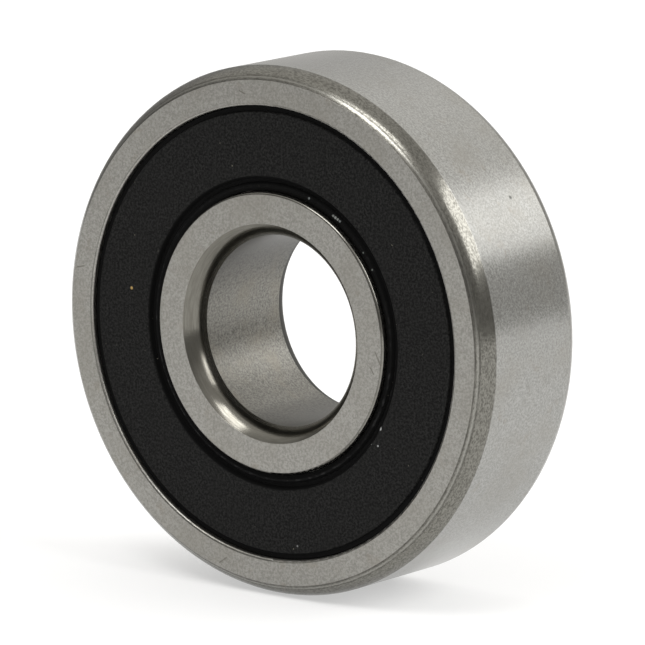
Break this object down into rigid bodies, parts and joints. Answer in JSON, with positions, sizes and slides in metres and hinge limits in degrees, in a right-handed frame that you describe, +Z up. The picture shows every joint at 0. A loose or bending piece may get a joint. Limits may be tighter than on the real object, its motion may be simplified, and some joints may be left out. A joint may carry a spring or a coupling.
{
  "type": "sealed ball bearing",
  "caption": "Sealed single-row deep groove ball bearing: steel rings, riveted ribbon cage, rubber contact seals on both sides, free-spinning inner ring.",
  "frame": {"origin": "centre of the bearing, on its axis and halfway between the two side faces", "axes": "+Y along the bearing axis from the front side to the back side, +Z up, the bearing stands on its rim"},
  "size_m": [0.047, 0.014, 0.047],
  "materials": {
    "outer_ring_steel": "finely ground, satin",
    "inner_ring_steel": "finely ground, satin",
    "seal_rubber": "matte moulded",
    "seal_core_steel": "cold rolled",
    "cage_steel": "pressed strip",
    "rivet_steel": "headed wire",
    "ball_steel": "lapped mirror"
  },
  "bodies": {
    "outer_ring_with_seals": {"outer_ring": "outer_ring_steel", "front_seal_rubber": "seal_rubber", "front_seal_core": "seal_core_steel", "back_seal_rubber": "seal_rubber", "back_seal_core": "seal_core_steel"},
    "inner_ring": {"inner_ring": "inner_ring_steel"},
    "cage": {"front_cage_half": "cage_steel", "back_cage_half": "cage_steel", "cage_rivet_1": "rivet_steel", "cage_rivet_2": "rivet_steel", "cage_rivet_3": "rivet_steel", "cage_rivet_4": "rivet_steel", "cage_rivet_5": "rivet_steel", "cage_rivet_6": "rivet_steel", "cage_rivet_7": "rivet_steel"},
    "ball_1": {"ball_1": "ball_steel"},
    "ball_2": {"ball_2": "ball_steel"},
    "ball_3": {"ball_3": "ball_steel"},
    "ball_4": {"ball_4": "ball_steel"},
    "ball_5": {"ball_5": "ball_steel"},
    "ball_6": {"ball_6": "ball_steel"},
    "ball_7": {"ball_7": "ball_steel"}
  },
  "joints": [
    {"name": "inner_ring_spin", "type": "hinge", "parent": "outer_ring_with_seals", "child": "inner_ring", "pos_m": [0, 0, 0], "axis": [0, 1, 0], "continuous": true},
    {"name": "cage_orbit", "type": "hinge", "parent": "outer_ring_with_seals", "child": "cage", "pos_m": [0, 0, 0], "axis": [0, 1, 0], "continuous": true},
    {"name": "ball_1_roll", "type": "hinge", "parent": "cage", "child": "ball_1", "pos_m": [0, 0, 0.016], "axis": [0, 1, 0], "continuous": true},
    {"name": "ball_2_roll", "type": "hinge", "parent": "cage", "child": "ball_2", "pos_m": [-0.01251, 0, 0.00998], "axis": [0, 1, 0], "continuous": true},
    {"name": "ball_3_roll", "type": "hinge", "parent": "cage", "child": "ball_3", "pos_m": [-0.0156, 0, -0.00356], "axis": [0, 1, 0], "continuous": true},
    {"name": "ball_4_roll", "type": "hinge", "parent": "cage", "child": "ball_4", "pos_m": [-0.00694, 0, -0.01442], "axis": [0, 1, 0], "continuous": true},
    {"name": "ball_5_roll", "type": "hinge", "parent": "cage", "child": "ball_5", "pos_m": [0.00694, 0, -0.01442], "axis": [0, 1, 0], "continuous": true},
    {"name": "ball_6_roll", "type": "hinge", "parent": "cage", "child": "ball_6", "pos_m": [0.0156, 0, -0.00356], "axis": [0, 1, 0], "continuous": true},
    {"name": "ball_7_roll", "type": "hinge", "parent": "cage", "child": "ball_7", "pos_m": [0.01251, 0, 0.00998], "axis": [0, 1, 0], "continuous": true}
  ],
  "couplings": [
    {"joint": "cage_orbit", "follows": "inner_ring_spin", "ratio": 0.36358},
    {"joint": "ball_1_roll", "follows": "inner_ring_spin", "ratio": -1.6961},
    {"joint": "ball_2_roll", "follows": "inner_ring_spin", "ratio": -1.6961},
    {"joint": "ball_3_roll", "follows": "inner_ring_spin", "ratio": -1.6961},
    {"joint": "ball_4_roll", "follows": "inner_ring_spin", "ratio": -1.6961},
    {"joint": "ball_5_roll", "follows": "inner_ring_spin", "ratio": -1.6961},
    {"joint": "ball_6_roll", "follows": "inner_ring_spin", "ratio": -1.6961},
    {"joint": "ball_7_roll", "follows": "inner_ring_spin", "ratio": -1.6961}
  ]
}
